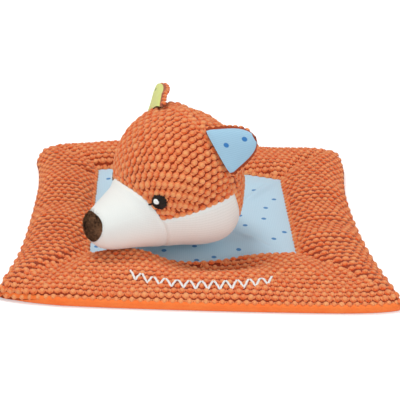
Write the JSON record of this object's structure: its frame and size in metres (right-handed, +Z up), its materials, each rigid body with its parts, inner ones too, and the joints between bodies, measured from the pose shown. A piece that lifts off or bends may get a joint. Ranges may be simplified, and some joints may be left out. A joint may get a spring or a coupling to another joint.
{
  "type": "comfort blanket lovey",
  "caption": "Square padded cuddle blanket with a knitted border round a dotted jersey panel, and a stuffed fox head with bending ears sewn on it.",
  "frame": {"origin": "on the underside, midway between the blanket's left and right corners and between its front and back hems", "axes": "+Z up from the surface the blanket lies on, -Y towards the front border, +X to the right"},
  "size_m": [0.1322, 0.1322, 0.0566],
  "materials": {
    "knit": "moss-stitch knit in orange yarn",
    "backing": "plain orange fleece",
    "wadding": "polyester fibre filling",
    "blue_jersey": "light blue jersey with darker blue dots",
    "green_jersey": "lime green jersey with dark green dots",
    "cream_jersey": "fine cream jersey",
    "brown_fleece": "dark brown fleece",
    "black_thread": "satin embroidery thread",
    "white_thread": "satin embroidery thread",
    "orange_thread": "sewing thread",
    "pouch": "thin cotton pouch filled with dried herb"
  },
  "bodies": {
    "blanket_middle": {"backing_centre": "backing", "wadding_centre": "wadding", "wadding_front": "wadding", "wadding_back": "wadding", "centre_panel": "blue_jersey", "knit_front": "knit", "knit_back": "knit", "neck_seam": "orange_thread"},
    "left_flap": {"backing_left": "backing", "wadding_left": "wadding", "knit_left": "knit", "knit_front_left_corner": "knit", "knit_back_left_corner": "knit"},
    "right_flap": {"backing_right": "backing", "wadding_right": "wadding", "knit_right": "knit", "knit_front_right_corner": "knit", "knit_back_right_corner": "knit"},
    "head": {"head_stuffing": "wadding", "herb_pouch": "pouch", "crown": "knit", "head_back": "knit", "muzzle": "cream_jersey", "left_cheek": "cream_jersey", "right_cheek": "cream_jersey", "nose": "brown_fleece", "left_eye": "black_thread", "left_eye_glint": "white_thread", "right_eye": "black_thread", "right_eye_glint": "white_thread"},
    "left_ear": {"left_ear_back": "knit", "left_ear_lining": "blue_jersey"},
    "right_ear": {"right_ear_back": "knit", "right_ear_lining": "green_jersey"}
  },
  "joints": [
    {"name": "left_fold", "type": "hinge", "parent": "blanket_middle", "child": "left_flap", "pos_m": [-0.038, 0, 0.009], "axis": [0, 1, 0], "range_deg": [0, 50]},
    {"name": "right_fold", "type": "hinge", "parent": "blanket_middle", "child": "right_flap", "pos_m": [0.036, 0, 0.009], "axis": [0, -1, 0], "range_deg": [0, 70]},
    {"name": "head_nod", "type": "hinge", "parent": "blanket_middle", "child": "head", "pos_m": [0.00456, -0.01646, 0.007], "axis": [-0.5446, 0.8387, 0], "range_deg": [0, 20]},
    {"name": "left_ear_bend", "type": "hinge", "parent": "head", "child": "left_ear", "pos_m": [0.00715, -0.04077, 0.04766], "axis": [0.4987, -0.36, -0.7885], "range_deg": [-20, 35]},
    {"name": "right_ear_bend", "type": "hinge", "parent": "head", "child": "right_ear", "pos_m": [-0.01659, -0.00421, 0.04766], "axis": [0.1261, -0.602, 0.7885], "range_deg": [-20, 35]}
  ]
}
